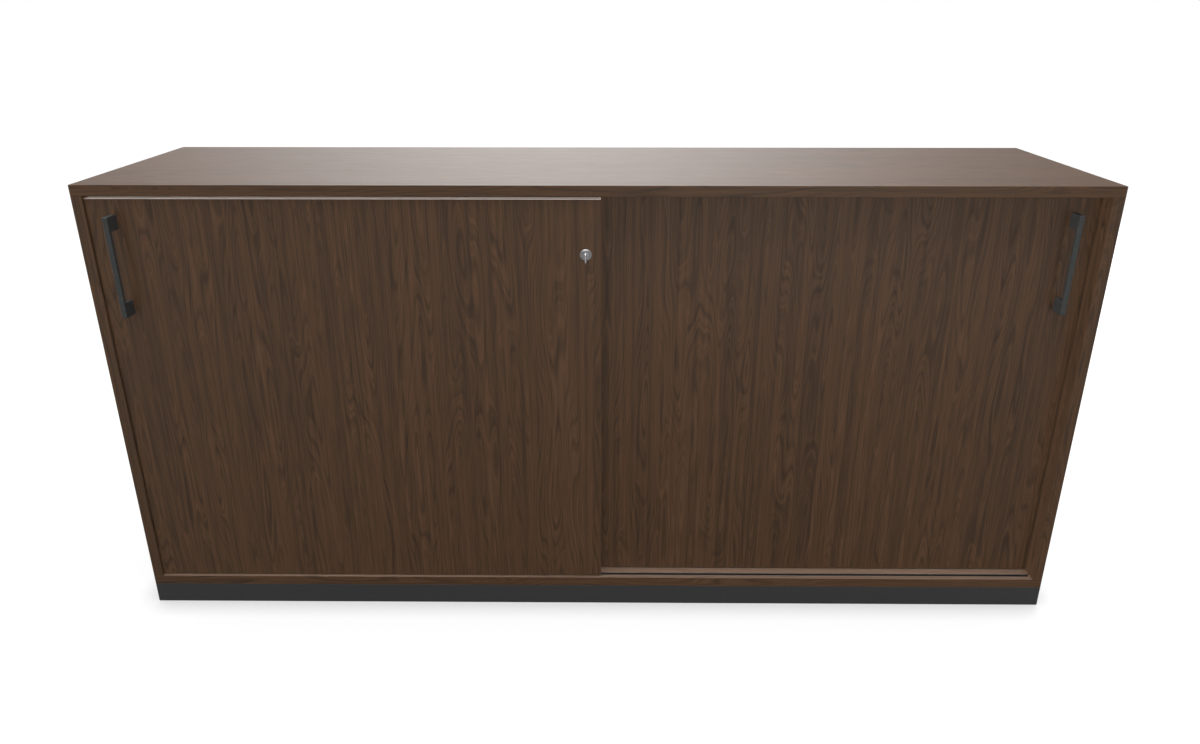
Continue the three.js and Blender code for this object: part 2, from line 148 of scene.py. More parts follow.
class Cut(Enum):
    """What a tool does to a piece."""

    TAKE_AWAY = "DIFFERENCE"
    ADD = "UNION"


class Duty(Enum):
    """What a lamp does: whether it casts shadows, lights matt surfaces and is mirrored by gloss."""

    KEY = (True, True, True)
    WASH = (True, True, False)
    FILL = (False, True, False)
    SHEEN = (False, False, True)


CORNERS = [f"{row.value}_{side.word}" for row in Row for side in Side]


def linear(hex_colour: str) -> tuple[float, float, float, float]:
    """Turns an sRGB hex colour into the linear colour that shaders use.

    Args:
        hex_colour: Colour such as "#54402F".

    Returns:
        Linear red, green and blue, and an alpha of 1.
    """
    digits = hex_colour.lstrip("#")
    channels = [int(digits[start : start + 2], 16) / 255 for start in (0, 2, 4)]
    values = [c / 12.92 if c <= 0.04045 else ((c + 0.055) / 1.055) ** 2.4 for c in channels]
    return (values[0], values[1], values[2], 1.0)


def feed(tree: bpy.types.NodeTree, node: bpy.types.Node, inputs: dict[str | int, Any]) -> None:
    """Sets or links a node's inputs.

    Args:
        tree: Node tree that holds the node.
        node: Node whose inputs are fed.
        inputs: Values, output sockets, or nodes that give their first output, by name or index.
    """
    for name, value in inputs.items():
        source = value.outputs[0] if isinstance(value, bpy.types.Node) else value
        if isinstance(source, bpy.types.NodeSocket):
            tree.links.new(source, node.inputs[name])
        else:
            node.inputs[name].default_value = source


def add_node(
    tree: bpy.types.NodeTree, kind: str, inputs: dict[str | int, Any] | None = None, **settings: Any
) -> bpy.types.Node:
    """Adds one node with its settings, and feeds its inputs.

    Args:
        tree: Node tree that receives the node.
        kind: Blender's own name of the node's type, without its first words.
        inputs: What feeds the inputs, by the input's name or index.
        settings: Attributes of the node; stops gives a colour ramp's (position, colour) pairs.

    Returns:
        The new node.
    """
    node = tree.nodes.new(f"ShaderNode{kind}")
    for name, value in settings.items():
        if name == "stops":
            elements = node.color_ramp.elements
            while len(elements) < len(value):
                elements.new(1.0)
            for element, (position, colour) in zip(elements, value):
                element.position = position
                element.color = colour
        else:
            setattr(node, name, value)
    feed(tree, node, inputs or {})
    return node


def blank_material(name: str) -> tuple[Material, bpy.types.NodeTree, bpy.types.Node]:
    """Starts a node material.

    Args:
        name: Name of the real material and its process.

    Returns:
        The material, its node tree and its one surface shader.
    """
    material = bpy.data.materials.new(name)
    material.use_nodes = True
    return material, material.node_tree, material.node_tree.nodes["Principled BSDF"]


def grain_scale(grain: Axis, across_mm: float, along_mm: float) -> tuple[float, ...]:
    """Pattern scale for cells that are stretched along the grain.

    Args:
        grain: Direction of the grain.
        across_mm: Size of a cell across the grain, in millimetres.
        along_mm: Size of a cell along the grain, in millimetres.

    Returns:
        Cells per metre along X, Y and Z.
    """
    return tuple(1 / ((along_mm if axis is grain else across_mm) * MM) for axis in Axis)


@dataclass(frozen=True)
class Coating:
    """A finish in use: its material, and the record's slot that it belongs to."""

    slot: str
    materials: tuple[Material, ...]


@dataclass(frozen=True)
class WalnutLaminate:
    """Particle board faced with a melamine film that carries a printed walnut decor.

    The press leaves a fine satin skin: seen from the front it shows the print, with its cathedrals,
    long dark veins, fine lines and fibres, and at a low angle it mirrors the room as a soft pale
    veil. Sizes are (across, along) the grain. Real fibres and lines are a few tenths of a
    millimetre wide; they are drawn coarser, so that they show in a picture of the whole cabinet.
    """

    grain: Axis
    name: str = "walnut_melamine"
    tones: tuple[str, ...] = ("#2D221A", "#36291F", "#413023", "#4E3929")
    tones_at: tuple[float, ...] = (0.08, 0.34, 0.54, 0.86)
    cathedral_mm: Pair = (30.0, 290.0)
    sweep_mm: Pair = (110.0, 2200.0)
    vein_mm: Pair = (9.0, 1100.0)
    fibre_mm: Pair = (1.7, 60.0)
    details: tuple[float, ...] = (0.3, 1.0, 2.0, 2.0)
    cathedral_rings: float = 10.0
    sweep_rings: float = 42.0
    lines_per_ring: float = 2.9
    ring_tones: Profile = ((0.0, 0.0), (0.22, 0.8), (0.6, 0.95), (1.0, 0.2))
    ring_share: float = 0.22
    vein_span: Pair = (0.34, 0.6)
    vein_share: Pair = (0.0, 0.26)
    fibre_span: Pair = (0.35, 0.65)
    fibre_share: Pair = (0.0, 0.24)
    line_share: Pair = (0.0, 0.3)
    roughness: Pair = (0.3, 0.38)
    relief: float = 0.1
    relief_mm: float = 0.05
    specular: float = 0.16

    def material(self) -> Material:
        """Builds the decor with its grain along one axis.

        Returns:
            The printed film.
        """
        material, tree, shader = blank_material(f"{self.name}_grain_{self.grain.name.lower()}")
        place = add_node(tree, "TexCoord").outputs["Object"]
        fields = []
        sizes = (self.cathedral_mm, self.sweep_mm, self.vein_mm, self.fibre_mm)
        for size, detail in zip(sizes, self.details):
            scale = grain_scale(self.grain, *size)
            cells = add_node(tree, "Mapping", {"Vector": place, "Scale": scale})
            inputs = {"Vector": cells, "Scale": 1.0, "Detail": detail}
            fields.append(add_node(tree, "TexNoise", inputs))
        cathedral, sweep, vein, fibre = fields

        # Growth rings are the contour lines of two slow fields: ovals and arches where the field
        # turns, nearly straight lines where it climbs. The fine lines follow the rings.
        swept = add_node(tree, "Math", {0: sweep, 1: self.sweep_rings}, operation="MULTIPLY")
        climb = add_node(
            tree, "Math", {0: cathedral, 1: self.cathedral_rings, 2: swept}, operation="MULTIPLY_ADD"
        )
        ring = add_node(tree, "Math", {0: climb}, operation="FRACT")
        inputs = {"W": climb, "Scale": self.lines_per_ring, "Detail": 1.0}
        lines = add_node(tree, "TexNoise", inputs, noise_dimensions="1D")
        greys = [(at, (tone, tone, tone, 1.0)) for at, tone in self.ring_tones]
        ring_tone = add_node(tree, "ValToRGB", {0: ring}, stops=greys)
        veined, fibred, lined, gloss = (
            add_node(tree, "MapRange", dict(enumerate((value, *span, *share))))
            for value, span, share in (
                (vein, self.vein_span, self.vein_share),
                (fibre, self.fibre_span, self.fibre_share),
                (lines, NOISE_SPAN, self.line_share),
                (fibre, NOISE_SPAN, self.roughness),
            )
        )
        streaks = add_node(tree, "Math", {0: lined, 1: fibred}, operation="ADD")
        body = add_node(tree, "Math", {0: veined, 1: streaks}, operation="ADD")
        tone = add_node(
            tree, "Math", {0: ring_tone, 1: self.ring_share, 2: body}, operation="MULTIPLY_ADD"
        )
        stops = [(at, linear(colour)) for at, colour in zip(self.tones_at, self.tones)]
        colour = add_node(tree, "ValToRGB", {0: tone}, stops=stops)
        relief = {"Strength": self.relief, "Distance": self.relief_mm * MM, "Height": fibre}
        bump = add_node(tree, "Bump", relief)
        feed(tree, shader, {"Base Color": colour, "Roughness": gloss, "Normal": bump})
        feed(tree, shader, {"Specular IOR Level": self.specular})
        return material


@dataclass(frozen=True)
class SpeckledFinish:
    """A surface whose colour wavers between two tones and whose skin has a fine grain.

    The speckle and the grit stand for the texture that moulding, coating, plating or pressing
    leaves, and keep a plain colour from looking painted on. Real grit is finer; it is drawn as
    coarse as it needs to show.
    """

    name: str
    dark: str
    light: str
    speckle_mm: float
    grit_mm: float
    roughness: Pair
    metallic: float = 0.0
    relief_mm: float = 0.02
    relief: float = 0.15
    specular: float = 0.5
    tones_at: Pair = (0.35, 0.65)

    def material(self) -> Material:
        """Builds the speckled, gritty surface.

        Returns:
            The surface's material.
        """
        material, tree, shader = blank_material(self.name)
        place = add_node(tree, "TexCoord").outputs["Object"]
        speckle, grit = (
            add_node(tree, "TexNoise", {"Vector": place, "Scale": 1 / (size * MM), "Detail": detail})
            for size, detail in ((self.speckle_mm, 2.0), (self.grit_mm, 1.0))
        )
        stops = list(zip(self.tones_at, (linear(self.dark), linear(self.light))))
        colour = add_node(tree, "ValToRGB", {0: speckle}, stops=stops)
        gloss = add_node(tree, "MapRange", dict(enumerate((grit, *NOISE_SPAN, *self.roughness))))
        relief = {"Strength": self.relief, "Distance": self.relief_mm * MM, "Height": grit}
        bump = add_node(tree, "Bump", relief)
        feed(tree, shader, {"Base Color": colour, "Roughness": gloss, "Normal": bump})
        feed(tree, shader, {"Metallic": self.metallic, "Specular IOR Level": self.specular})
        return material

    def coating(self, slot: str) -> Coating:
        """The finish as the one material of a slot."""
        return Coating(slot, (self.material(),))


@dataclass(frozen=True)
class ChipCore:
    """Raw particle board, as a saw or a drill leaves it in grooves and holes.

    Pale and dark chips lie at all angles in a dry, dull surface.
    """

    chips: tuple[str, ...] = ("#6E5238", "#947250", "#B3936A")
    chips_at: tuple[float, ...] = (0.1, 0.5, 0.9)
    chip_mm: float = 3.0
    roughness: float = 0.85
    relief: float = 0.4
    relief_mm: float = 0.2

    def material(self) -> Material:
        """Builds the bed of chips.

        Returns:
            The raw board's material.
        """
        material, tree, shader = blank_material("raw_particle_board")
        place = add_node(tree, "TexCoord").outputs["Object"]
        cells = add_node(tree, "TexVoronoi", {"Vector": place, "Scale": 1 / (self.chip_mm * MM)})
        tone = add_node(tree, "SeparateColor", {0: cells.outputs["Color"]})
        stops = [(at, linear(chip)) for at, chip in zip(self.chips_at, self.chips)]
        colour = add_node(tree, "ValToRGB", {0: tone}, stops=stops)
        depth = cells.outputs["Distance"]
        relief = {"Strength": self.relief, "Distance": self.relief_mm * MM, "Height": depth}
        bump = add_node(tree, "Bump", relief)
        feed(tree, shader, {"Base Color": colour, "Normal": bump, "Roughness": self.roughness})
        return material


class Palette:
    """Every finish of the credenza, each built once."""

    def __init__(self) -> None:
        """Builds the materials, one slot of the record after the other."""
        core = ChipCore().material()
        walnut = tuple(WalnutLaminate(axis).material() for axis in Axis)
        # Pale strip on the doors' top edges under the top panel: a painted highlight, for the light
        # that the walnut edge catches from above.
        self.band = SpeckledFinish(
            "ironed_pale_edge_band", "#D4C4BC", "#DBCCC4", 5.0, 1.2, (0.4, 0.5)
        ).coating("walnut_laminate")
        # The ledge that the doors run on: the same decor drawn paler. The paler tones are painted
        # light, for the light from above that falls on the ledge in its recess.
        ledge_light_tones = ("#48392F", "#534238", "#5D4C40", "#665448")
        ledge = WalnutLaminate(Axis.X, "rubbed_walnut_melamine", ledge_light_tones).material()
        self.walnut = Coating("walnut_laminate", (*walnut, core, ledge))
        # Pressed anthracite laminate: a neutral dark grey with a pearled skin.
        anthracite = SpeckledFinish(
            "anthracite_melamine", "#2C2C2C", "#343434", 2.5, 1.6, (0.42, 0.55), specular=0.2
        ).material()
        self.anthracite = Coating("anthracite_laminate", (anthracite,) * 3 + (core,))
        # Powder coat baked on a zinc casting: satin, with a faint orange peel.
        self.handle = SpeckledFinish(
            "dark_grey_powder_coat", "#2A2B2B", "#303131", 6.0, 1.4, (0.42, 0.52),
            relief_mm=0.04, specular=0.3,
        ).coating("handle_coating")
        # Satin nickel plate: a pale metal that blurs what it mirrors.
        self.nickel = SpeckledFinish(
            "satin_nickel_plate", "#AFAFB0", "#B7B8B8", 3.0, 0.5, (0.55, 0.65), metallic=1.0
        ).coating("lock_nickel")
        # Nickel-plated steel of the key: brighter and smoother than the lock.
        self.key = SpeckledFinish(
            "nickel_plated_key_steel", "#BFBDBC", "#C8C6C5", 4.0, 0.6, (0.5, 0.6), metallic=1.0
        ).coating("key_steel")
        # Bright zinc plate: cool grey with cloudy patches.
        self.zinc = SpeckledFinish(
            "zinc_plated_steel", "#A3A6A8", "#B9BBBB", 3.5, 0.8, (0.3, 0.45), metallic=1.0
        ).coating("zinc_steel")
        # Moulded black polyamide of the feet: a dull, even black.
        self.foot = SpeckledFinish(
            "moulded_black_polyamide", "#1E2022", "#26282A", 4.0, 1.0, (0.48, 0.6)
        ).coating("foot_plastic")
        # Grey nylon of the wheels: a little waxy.
        self.nylon = SpeckledFinish(
            "moulded_grey_nylon", "#4A4A48", "#545452", 5.0, 1.0, (0.35, 0.45)
        ).coating("wheel_nylon")
        # Extruded black rigid vinyl of the tracks: smooth, with a dull shine.
        self.track = SpeckledFinish(
            "extruded_black_vinyl", "#17191B", "#1D1F21", 8.0, 1.2, (0.4, 0.5)
        ).coating("track_plastic")


def middle(node: str) -> Vector:
    """The middle of a node's box at rest."""
    low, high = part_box(node)
    return (low + high) / 2


def shaft(node: str, axis: Axis, high_end: bool = False) -> tuple[Vector, float]:
    """Where a turned piece starts and how long it is.

    Args:
        node: Node that the piece stands for.
        axis: Direction of the piece's axis.
        high_end: Whether it starts at the end that lies further along the axis.

    Returns:
        The middle of the end that it starts at, and its length in millimetres.
    """
    low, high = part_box(node)
    start = middle(node)
    start[axis.value] = (high if high_end else low)[axis.value]
    return start, (high[axis.value] - low[axis.value]) / MM


def lathe(near: Profile, far: Profile, length: float, way: int = 1) -> list[Pair]:
    """Joins the two halves of a turned piece's profile.

    Args:
        near: (radius, distance from the near end) pairs.
        far: (radius, distance back from the far end) pairs.
        length: Distance between the ends.
        way: Direction of the stations along the axis, 1 or -1.

    Returns:
        (radius, station) pairs from the near end to the far end.
    """
    pairs = [*near, *((radius, length - back) for radius, back in far)]
    return [(radius, station * way) for radius, station in pairs]


def round_edges(shape: Shape, edges: Sequence[bmesh.types.BMEdge], radius: float) -> None:
    """Rounds some edges of a shape.

    Args:
        shape: Shape that is changed.
        edges: Edges to round.
        radius: Radius in metres; nothing is done at 0.
    """
    if radius > 0:
        bmesh.ops.bevel(
            shape, geom=edges, offset=radius, segments=EDGE_STEPS, profile=0.5, affect="EDGES"
        )


def rounded_box(low: Vector, high: Vector, radius: float = 0.0, along: Axis | None = None) -> Shape:
    """A box with rounded edges.

    Args:
        low: Lowest corner.
        high: Highest corner.
        radius: Radius of the edges; none are rounded at 0.
        along: Direction of the edges that are rounded, or all of them.

    Returns:
        The closed shape.
    """
    made = bmesh.new()
    bmesh.ops.create_cube(made, size=1.0)
    bmesh.ops.scale(made, vec=high - low, verts=made.verts)
    bmesh.ops.translate(made, vec=(low + high) / 2, verts=made.verts)
    edges = []
    for edge in made.edges:
        way = edge.verts[1].co - edge.verts[0].co
        if along is None or abs(way.normalized()[along.value]) > SQUARE:
            edges.append(edge)
    round_edges(made, edges, radius)
    return made


def bar(centre: Vector, half_wide: float, half_high: float, front: float, back: float) -> Shape:
    """A sharp-edged bar along Y.

    Args:
        centre: Any point of its axis.
        half_wide: Half its width, in millimetres.
        half_high: Half its height, in millimetres.
        front: Where its front end is, in metres.
        back: Where its back end is, in metres.

    Returns:
        The closed shape.
    """
    half = Vector((half_wide, 0.0, half_high)) * MM
    low, high = centre - half, centre + half
    low.y, high.y = front, back
    return rounded_box(low, high)


def turned(
    profile: Sequence[Pair], centre: Vector, axis: Axis, steps: int = TURN_STEPS, ring: bool = False
) -> Shape:
    """A turned shape.

    Args:
        profile: (radius, station along the axis) pairs in millimetres from one end to the other.
        centre: Point of the axis where the station is 0.
        axis: Direction of the axis.
        steps: Number of flats round the axis.
        ring: Whether the profile closes on itself round a bore.

    Returns:
        The closed shape.
    """
    made = bmesh.new()
    first, second = (axis.value + 1) % 3, (axis.value + 2) % 3
    rings = []
    for radius, station in profile:
        corners = []
        for step in range(steps if radius else 1):
            angle = 2 * math.pi * step / steps
            point = centre.copy()
            point[axis.value] += station * MM
            point[first] += radius * MM * math.cos(angle)
            point[second] += radius * MM * math.sin(angle)
            corners.append(made.verts.new(point))
        rings.append(corners)
    following = rings[1:] + rings[:1] if ring else rings[1:]
    for near, far in zip(rings, following):
        for step in range(steps):
            after = step + 1
            corners = [near[step % len(near)], near[after % len(near)]]
            corners += [far[after % len(far)], far[step % len(far)]]
            made.faces.new(list(dict.fromkeys(corners)))
    bmesh.ops.recalc_face_normals(made, faces=made.faces)
    return made


def rod(centre: Vector, axis: Axis, radius: float, start: float, end: float) -> Shape:
    """A plain round rod or drill, with its radius and stations along the axis in millimetres."""
    profile = [(0.0, start), (radius, start), (radius, end), (0.0, end)]
    return turned(profile, centre, axis, HOLE_STEPS)


def drill(point: Vector, axis: Axis, radius: float, low: float, high: float) -> Shape:
    """A drill that passes right through a piece.

    Args:
        point: Any point of the drill's axis.
        axis: Direction of the drill.
        radius: Radius in millimetres.
        low: Where the piece's one face is along the axis, in metres.
        high: Where its other face is.

    Returns:
        The closed shape.
    """
    centre = point.copy()
    centre[axis.value] = 0.0
    return rod(centre, axis, radius, (low - OVERRUN) / MM, (high + OVERRUN) / MM)


def plated(outline: Sequence[Pair], axis: Axis, start: float, end: float, rim: float = 0.0) -> Shape:
    """A plate or bar of a drawn outline, with rounded rims.

    Args:
        outline: Points in metres, in the two axes that follow the thickness axis.
        axis: Direction of the thickness.
        start: Where the thickness starts, in metres.
        end: Where the thickness ends, in metres.
        rim: Radius of the rims in millimetres.

    Returns:
        The closed shape.
    """
    made = bmesh.new()
    caps = []
    for station in (start, end):
        corners = []
        for first, second in outline:
            point = Vector((0.0, 0.0, 0.0))
            point[axis.value] = station
            point[(axis.value + 1) % 3] = first
            point[(axis.value + 2) % 3] = second
            corners.append(made.verts.new(point))
        caps.append(corners)
    near, far = caps
    faces = [made.faces.new(near), made.faces.new(far)]
    count = len(outline)
    for step in range(count):
        after = (step + 1) % count
        made.faces.new((near[step], near[after], far[after], far[step]))
    bmesh.ops.recalc_face_normals(made, faces=made.faces)
    round_edges(made, [edge for face in faces for edge in face.edges], rim * MM)
    return made


def arc(centre: Pair, radius: float, start: float, end: float) -> list[Pair]:
    """Points of a circular arc.

    Args:
        centre: Centre of the arc.
        radius: Radius of the arc.
        start: Angle of the first point, in degrees.
        end: Angle of the last point, in degrees.

    Returns:
        The points in order.
    """
    angles = [math.radians(start + (end - start) * i / ARC_STEPS) for i in range(ARC_STEPS + 1)]
    return [(centre[0] + radius * math.cos(a), centre[1] + radius * math.sin(a)) for a in angles]


def make_object(name: str, shapes: Iterable[Shape], materials: Sequence[Material]) -> bpy.types.Object:
    """Turns shapes into one object with its materials.

    Args:
        name: Name of the object.
        shapes: Closed shapes that go into its mesh.
        materials: Materials in the order of their slots.

    Returns:
        The object, linked to the scene.
    """
    mesh = bpy.data.meshes.new(name)
    whole = bmesh.new()
    for shape in shapes:
        shape.to_mesh(mesh)
        whole.from_mesh(mesh)
        shape.free()
    whole.to_mesh(mesh)
    whole.free()
    for material in materials:
        mesh.materials.append(material)
    made = bpy.data.objects.new(name, mesh)
    bpy.context.scene.collection.objects.link(made)
    return made


def work(piece: bpy.types.Object, tools: Iterable[Shape], cut: Cut, slot: int = 0) -> None:
    """Cuts tools out of a piece, or joins them to it, and keeps the result as its mesh.

    Args:
        piece: Object that is worked on.
        tools: Closed shapes that don't touch each other.
        cut: Whether the tools are taken away or added.
        slot: Material slot of the faces that the tools leave.
    """
    tool = make_object("tool", tools, [])
    for face in tool.data.polygons:
        face.material_index = slot
    step = piece.modifiers.new("work", "BOOLEAN")
    step.operation = cut.value
    step.solver = "EXACT"
    step.object = tool
    bpy.context.view_layer.update()
    graph = bpy.context.evaluated_depsgraph_get()
    shaped = bpy.data.meshes.new_from_object(piece.evaluated_get(graph))
    piece.modifiers.clear()
    before, piece.data = piece.data, shaped
    spare = tool.data
    bpy.data.objects.remove(tool)
    for mesh in (before, spare):
        bpy.data.meshes.remove(mesh)
    shaped.name = piece.name


def body_of(node: str) -> str:
    """The name of the body that a node belongs to."""
    bodies = frame["record"]["behaviour"]["bodies"]
    return next(body for body, nodes in bodies.items() if node in nodes)


def settle(piece: bpy.types.Object, node: str, stands_in: bool = True) -> None:
    """Smooths a finished piece's rounded edges and puts it on a node's body.

    Args:
        piece: The finished object.
        node: Node that the piece stands for, or is fixed to.
        stands_in: Whether the piece takes the node's place.
    """
    piece.data.shade_smooth()
    piece.data.set_sharp_from_angle(angle=SHARP_ANGLE)
    normals = piece.modifiers.new("flat_faces", "WEIGHTED_NORMAL")
    normals.keep_sharp = True
    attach(piece, body_of(node))
    if stands_in:
        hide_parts(node)
    LOG.info("%s: %d faces, on %s", piece.name, len(piece.data.polygons), body_of(node))


def fit(
    node: str, word: str, shape: Shape, coating: Coating, tools: Sequence[tuple[Cut, Shape]] = ()
) -> None:
    """Makes a piece, works it with one tool after the other and puts it in its node's place.

    Args:
        node: Node that the piece stands for.
        word: What the piece's name adds to the node's.
        shape: Closed shape of the piece.
        coating: Finish of the piece.
        tools: Closed shapes, each with what it does to the piece.
    """
    piece = make_object(f"{node}_{word}", [shape], coating.materials)
    for cut, tool in tools:
        work(piece, [tool], cut)
    settle(piece, node)


@dataclass
class Board:
    """A laminated board with banded edges, in the place of one node.

    The film on its faces has one grain direction; the band on each edge has its grain along the
    edge. As far back as the ledge says, in metres from its front, the top of the board takes a
    paler decor: painted light from above.
    """

    node: str
    thickness: Axis
    grain: Axis
    coating: Coating
    radius: float = 0.5
    rounded: Axis | None = None
    ledge: float = 0.0
    cutters: list[Shape] = field(default_factory=list)

    CORE_SLOT = 3
    LEDGE_SLOT = 4

    def build(self) -> None:
        """Makes the board, cuts its grooves and holes and puts it in place."""
        low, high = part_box(self.node)
        shape = rounded_box(low, high, self.radius * MM, self.rounded)
        if self.ledge:
            back = Vector((0.0, low.y + self.ledge, 0.0))
            parts = [*shape.verts, *shape.edges, *shape.faces]
            bmesh.ops.bisect_plane(shape, geom=parts, plane_co=back, plane_no=(0.0, 1.0, 0.0))
        board = make_object(f"{self.node}_board", [shape], self.coating.materials)
        self.dress(board)
        if self.cutters:
            work(board, self.cutters, Cut.TAKE_AWAY, self.CORE_SLOT)
        settle(board, self.node)

    def dress(self, board: bpy.types.Object) -> None:
        """Gives each face the film or band whose grain runs the right way.

        Args:
            board: The board before anything is cut out of it.
        """
        edge_axes = [axis for axis in Axis if axis is not self.thickness]
        for face in board.data.polygons:
            if abs(face.normal[self.thickness.value]) > SQUARE:
                face.material_index = self.grain.value
            else:
                across = max(edge_axes, key=lambda axis: abs(face.normal[axis.value]))
                band = next(axis for axis in edge_axes if axis is not across)
                face.material_index = band.value
            # The ledge's top takes the paler decor: painted light from above.
            if face.normal.z > SQUARE and face.center.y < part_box(self.node)[0].y + self.ledge:
                face.material_index = self.LEDGE_SLOT


@dataclass
class Carcass:
    """Top, bottom, end panels, back and partition, the shelves and the pins that carry them."""

    palette: Palette
    groove_play: float = 0.15
    groove_end_play: float = 0.5
    pin_hole_radius: float = 2.7
    pin_hole_depth: float = 10.0
    pin_pitch: float = 64.0
    pin_steps: tuple[int, ...] = (-2, -1, 0, 1, 2)
    pin_stem: Profile = ((0.0, 0.0), (1.9, 0.0), (2.4, 0.5), (2.4, 7.5))
    pin_collar: Profile = ((3.5, 7.5), (3.5, 8.7), (3.2, 9.0), (3.2, 9.4), (3.5, 9.7))
    pin_head: Profile = ((3.5, 1.2), (3.1, 0.5), (2.2, 0.0), (0.0, 0.0))
    insert_hole_radius: float = 8.3

    def build(self) -> None:
        """Builds every board and pin."""
        walnut = self.palette.walnut
        top_cuts = [self.groove(f"top_rail_{plane.value}", Mouth.BELOW) for plane in Plane]
        Board("top_panel", Axis.Z, Axis.X, walnut, cutters=top_cuts).build()
        cuts = [self.groove(f"bottom_track_{plane.value}", Mouth.ABOVE) for plane in Plane]
        low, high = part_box("bottom_panel")
        for corner in CORNERS:
            centre = middle(f"foot_insert_{corner}")
            cuts.append(drill(centre, Axis.Z, self.insert_hole_radius, low.z, high.z))
        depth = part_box("centre_partition")[0].y - low.y
        Board("bottom_panel", Axis.Z, Axis.X, walnut, ledge=depth, cutters=cuts).build()
        for side in Side:
            holes = self.pin_holes(side, Place.OUTER)
            node = f"{side.word}_side_panel"
            Board(node, Axis.X, Axis.Z, walnut, rounded=Axis.Z, cutters=holes).build()
        Board("back_panel", Axis.Y, Axis.Z, walnut, radius=0.0).build()
        holes = self.pin_holes(Side.LEFT, Place.INNER)
        Board("centre_partition", Axis.X, Axis.Z, walnut, rounded=Axis.Z, cutters=holes).build()
        for side in Side:
            Board(f"{side.word}_shelf", Axis.Z, Axis.X, walnut).build()
            for place in Place:
                for row in Row:
                    self.pin(side, place, row)

    def groove(self, node: str, mouth: Mouth) -> Shape:
        """The cutter of a groove that holds a track or rail.

        Args:
            node: Track or rail that lies in the groove.
            mouth: Side on which the groove is open.

        Returns:
            A box a little larger than the track.
        """
        low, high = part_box(node)
        play = Vector((self.groove_end_play, self.groove_play, 0.0)) * MM
        low, high = low - play, high + play
        if mouth is Mouth.ABOVE:
            high.z += OVERRUN
        else:
            low.z -= OVERRUN
        return rounded_box(low, high)

    def pin_holes(self, side: Side, place: Place) -> list[Shape]:
        """Drills for the two rows of shelf pins in an end panel or the partition.

        Args:
            side: Half of the cabinet that the holes look into.
            place: The outer holes are blind, the inner ones go through the partition.

        Returns:
            One drill for each hole.
        """
        drills = []
        radius = self.pin_hole_radius
        for row in Row:
            pin = middle(f"{side.word}_shelf_pin_{place.value}_{row.value}")
            for step in self.pin_steps:
                centre = Vector((0.0, pin.y, pin.z + step * self.pin_pitch * MM))
                if place is Place.INNER:
                    low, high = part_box("centre_partition")
                    drills.append(drill(centre, Axis.X, radius, low.x, high.x))
                else:
                    low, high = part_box(f"{side.word}_side_panel")
                    face = high.x if side is Side.LEFT else low.x
                    ends = (-OVERRUN, self.pin_hole_depth * MM)
                    reach = sorted((face + side.value * end) / MM for end in ends)
                    drills.append(rod(centre, Axis.X, radius, *reach))
        return drills

    def pin(self, side: Side, place: Place, row: Row) -> None:
        """A turned shelf pin: a stem in the board, a collar against it and a domed head.

        Args:
            side: Half of the cabinet.
            place: Wall that the pin stands in.
            row: Row of holes that the pin stands in.
        """
        node = f"{side.word}_shelf_pin_{place.value}_{row.value}"
        inward = -side.value if place is Place.OUTER else side.value
        start, length = shaft(node, Axis.X, inward < 0)
        profile = lathe(self.pin_stem + self.pin_collar, self.pin_head, length, inward)
        fit(node, "turned", turned(profile, start, Axis.X, HOLE_STEPS), self.palette.zinc)


@dataclass
class Plinth:
    """The dark frame under the carcass and the levelling feet that stand inside it."""

    palette: Palette
    pad: Profile = (
        (0.0, 0.0), (15.5, 0.0), (17.0, 1.5), (17.0, 4.0), (15.0, 6.5), (11.0, 8.0), (4.0, 8.0)
    )
    pad_height: float = 8.0
    thread_radius: float = 4.0
    thread_root: float = 3.4
    thread_pitch: float = 1.25
    stem_end: Profile = ((3.2, 0.0), (0.0, 0.0))
    flange: Profile = ((4.3, 0.4), (4.7, 0.0), (11.6, 0.0), (12.0, 0.4), (12.0, 2.0), (8.0, 2.0))
    sleeve_end: Profile = ((8.0, 0.4), (7.6, 0.0), (4.7, 0.0), (4.3, 0.4))

    def build(self) -> None:
        """Builds the four boards, the feet and their inserts."""
        dark = self.palette.anthracite
        for row in Row:
            Board(f"plinth_{row.value}", Axis.Y, Axis.X, dark, rounded=Axis.X).build()
        for side in Side:
            Board(f"plinth_{side.word}", Axis.X, Axis.Y, dark).build()
        for corner in CORNERS:
            self.foot(f"levelling_foot_{corner}")
            self.insert(f"foot_insert_{corner}")

    def foot(self, node: str) -> None:
        """A moulded pad on a threaded stem.

        Args:
            node: Foot that it stands for.
        """
        start, length = shaft(node, Axis.Z)
        thread = []
        station = self.pad_height + self.thread_pitch
        while station < length - self.thread_pitch:
            thread.append((self.thread_radius, station))
            thread.append((self.thread_root, station + self.thread_pitch / 2))
            station += self.thread_pitch
        profile = lathe((*self.pad, *thread), self.stem_end, length)
        fit(node, "moulded", turned(profile, start, Axis.Z), self.palette.foot)

    def insert(self, node: str) -> None:
        """A flanged threaded sleeve in the bottom panel.

        Args:
            node: Insert that it stands for.
        """
        start, length = shaft(node, Axis.Z)
        profile = lathe(self.flange, self.sleeve_end, length)
        fit(node, "sleeve", turned(profile, start, Axis.Z, ring=True), self.palette.zinc)


